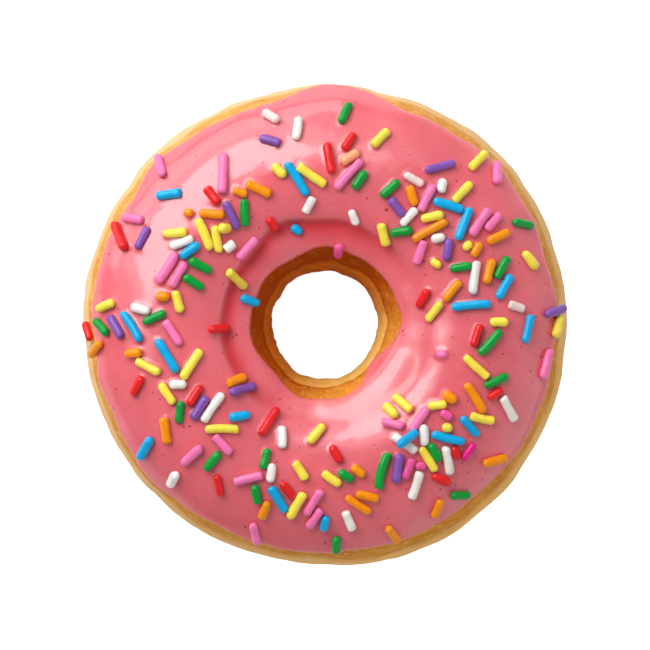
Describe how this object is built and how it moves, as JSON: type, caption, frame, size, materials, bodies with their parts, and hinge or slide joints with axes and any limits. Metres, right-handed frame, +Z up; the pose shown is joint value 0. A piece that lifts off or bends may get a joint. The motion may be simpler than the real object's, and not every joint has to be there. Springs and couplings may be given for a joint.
{
  "type": "sprinkle frosted ring doughnut",
  "caption": "Fried ring doughnut lying flat, its top dipped in pink icing that runs a little way into the hole, with coloured stick sprinkles scattered over it.",
  "frame": {"origin": "on the surface that the doughnut lies on, below the middle of its hole", "axes": "+Z up through the hole, out of the iced side; +X and +Y level, along the surface"},
  "size_m": [0.0919, 0.0916, 0.033],
  "materials": {
    "crust": "fried golden crust, darker in the hole, with a pale waist",
    "icing": "smooth glossy pink sugar icing with fine specks",
    "sprinkles": "waxed sugar sticks in blue, green, yellow, orange, red, pink, purple and white"
  },
  "bodies": {
    "root": {"dough": "crust", "icing": "icing"}
  },
  "joints": []
}
